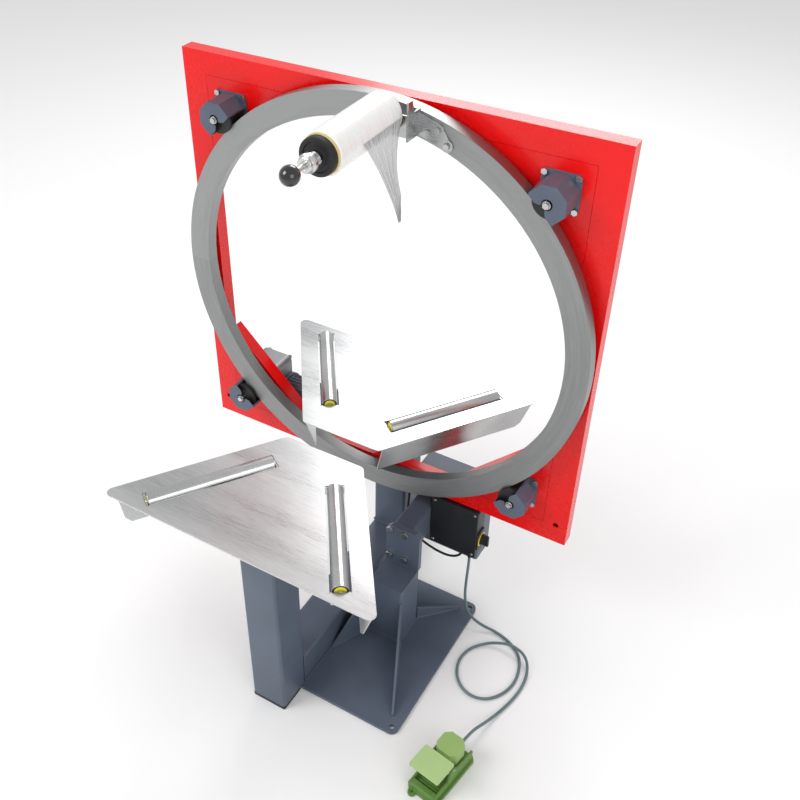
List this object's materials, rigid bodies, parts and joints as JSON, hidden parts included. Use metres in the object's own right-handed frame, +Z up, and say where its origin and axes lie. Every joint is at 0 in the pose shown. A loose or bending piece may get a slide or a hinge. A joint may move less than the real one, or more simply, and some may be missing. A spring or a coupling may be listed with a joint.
{
  "type": "orbital stretch wrapper",
  "caption": "Orbital film wrapper for round goods: a driven upright ring in a red panel carries a film roll around a load turning on a split roller table; foot switch on a cable.",
  "frame": {"origin": "centre of the base plate's underside, on the floor", "axes": "+Z up, +Y from the film roll's side to the panel's back, +X to the machine's right, towards the control box's switch"},
  "size_m": [1.1103, 0.8504, 1.517],
  "materials": {
    "stand_paint": "satin",
    "panel_red": "gloss",
    "ring_steel": "satin",
    "guard_paint": "satin",
    "stainless": "brushed",
    "zinc": "satin",
    "roller_black": "matte",
    "gear_housing": "cast",
    "motor_paint": "satin",
    "film": "gloss",
    "film_sheet": "gloss",
    "cardboard": "matte",
    "black_plastic": "matte",
    "knob_black": "gloss",
    "yellow_seal": "matte",
    "box_paint": "satin",
    "switch_grey": "matte",
    "cable_jacket": "matte",
    "pedal_green": "satin",
    "pedal_dark_green": "satin"
  },
  "bodies": {
    "stand": {"base_plate": "stand_paint", "low_beam": "stand_paint", "front_post": "stand_paint", "rear_post": "stand_paint", "plastic_end_pads": "black_plastic", "post_top_plates": "stand_paint", "column": "stand_paint", "column_gussets": "stand_paint", "flange_plates": "stand_paint", "rear_arm": "stand_paint", "rear_upright": "stand_paint", "frame_bolts": "zinc", "panel_frame": "panel_red", "corner_plates": "panel_red", "guide_axles": "zinc", "roller_guards": "guard_paint", "guard_bolts": "zinc", "gearbox": "gear_housing", "drive_motor": "motor_paint", "front_table": "stainless", "rear_table": "stainless", "table_roller_shafts": "zinc", "table_roller_brackets": "stainless", "control_box": "box_paint", "control_box_lid": "box_paint", "main_switch_plate": "switch_grey", "cable_glands": "black_plastic", "foot_cable_relief": "black_plastic", "foot_cable": "cable_jacket", "motor_cable": "cable_jacket", "foot_switch_base": "pedal_dark_green", "foot_switch_cap": "pedal_green", "pedal_pin": "zinc"},
    "ring": {"ring": "ring_steel", "film_bracket": "stainless", "film_bracket_bolts": "zinc", "spindle": "zinc", "brake_spring": "zinc", "ball_knob": "knob_black", "film_tail": "film_sheet"},
    "film_spool": {"film_core": "cardboard", "film_roll": "film", "rear_flange": "black_plastic", "front_flange": "black_plastic"},
    "clamp_nut": {"clamp_nut": "zinc"},
    "guide_roller_upper_right": {"guide_roller_upper_right": "roller_black"},
    "guide_roller_upper_left": {"guide_roller_upper_left": "roller_black"},
    "drive_roller": {"guide_roller_drive": "roller_black", "drive_shaft": "zinc"},
    "guide_roller_lower_right": {"guide_roller_lower_right": "roller_black"},
    "main_switch_knob": {"main_switch_knob": "knob_black"},
    "foot_pedal": {"foot_pedal": "pedal_green"},
    "table_roller_front_left": {"table_roller_front_left": "stainless", "roller_caps_front_left": "yellow_seal"},
    "table_roller_front_right": {"table_roller_front_right": "stainless", "roller_caps_front_right": "yellow_seal"},
    "table_roller_rear_left": {"table_roller_rear_left": "stainless", "roller_caps_rear_left": "yellow_seal"},
    "table_roller_rear_right": {"table_roller_rear_right": "stainless", "roller_caps_rear_right": "yellow_seal"}
  },
  "joints": [
    {"name": "ring_spin", "type": "hinge", "parent": "stand", "child": "ring", "pos_m": [-0.136, 0.216, 0.931], "axis": [0, 1, 0], "continuous": true, "deforming": ["film_tail"]},
    {"name": "guide_upper_right_spin", "type": "hinge", "parent": "stand", "child": "guide_roller_upper_right", "pos_m": [0.27836, 0.216, 1.34536], "axis": [0, 1, 0], "continuous": true},
    {"name": "guide_upper_left_spin", "type": "hinge", "parent": "stand", "child": "guide_roller_upper_left", "pos_m": [-0.55036, 0.216, 1.34536], "axis": [0, 1, 0], "continuous": true},
    {"name": "drive_roller_spin", "type": "hinge", "parent": "stand", "child": "drive_roller", "pos_m": [-0.55036, 0.216, 0.51663], "axis": [0, 1, 0], "continuous": true},
    {"name": "guide_lower_right_spin", "type": "hinge", "parent": "stand", "child": "guide_roller_lower_right", "pos_m": [0.27836, 0.216, 0.51663], "axis": [0, 1, 0], "continuous": true},
    {"name": "film_spin", "type": "hinge", "parent": "ring", "child": "film_spool", "pos_m": [-0.084, 0.03, 1.471], "axis": [0, 1, 0], "continuous": true},
    {"name": "clamp_nut_turn", "type": "hinge", "parent": "ring", "child": "clamp_nut", "pos_m": [-0.084, -0.12, 1.471], "axis": [0, 1, 0], "continuous": true},
    {"name": "table_roller_front_left_spin", "type": "hinge", "parent": "stand", "child": "table_roller_front_left", "pos_m": [-0.31328, -0.24595, 0.651], "axis": [-0.5664, -0.8241, 0], "continuous": true},
    {"name": "table_roller_front_right_spin", "type": "hinge", "parent": "stand", "child": "table_roller_front_right", "pos_m": [0.04129, -0.24595, 0.651], "axis": [0.5664, -0.8241, 0], "continuous": true},
    {"name": "table_roller_rear_left_spin", "type": "hinge", "parent": "stand", "child": "table_roller_rear_left", "pos_m": [-0.31328, 0.26995, 0.651], "axis": [-0.5664, 0.8241, 0], "continuous": true},
    {"name": "table_roller_rear_right_spin", "type": "hinge", "parent": "stand", "child": "table_roller_rear_right", "pos_m": [0.04129, 0.26995, 0.651], "axis": [0.5664, 0.8241, 0], "continuous": true},
    {"name": "main_switch_turn", "type": "hinge", "parent": "stand", "child": "main_switch_knob", "pos_m": [0.181, 0.263, 0.262], "axis": [1, 0, 0], "range_deg": [0, 90]},
    {"name": "foot_pedal_press", "type": "hinge", "parent": "stand", "child": "foot_pedal", "pos_m": [0.34806, -0.27693, 0.06], "axis": [0.9877, -0.1564, 0], "range_deg": [0, 12], "stiffness_Nm_per_rad": 8, "springref_deg": -6.88}
  ],
  "couplings": [
    {"joint": "guide_upper_right_spin", "follows": "ring_spin", "ratio": -16.38},
    {"joint": "guide_upper_left_spin", "follows": "ring_spin", "ratio": -16.38},
    {"joint": "drive_roller_spin", "follows": "ring_spin", "ratio": -16.38},
    {"joint": "guide_lower_right_spin", "follows": "ring_spin", "ratio": -16.38}
  ]
}
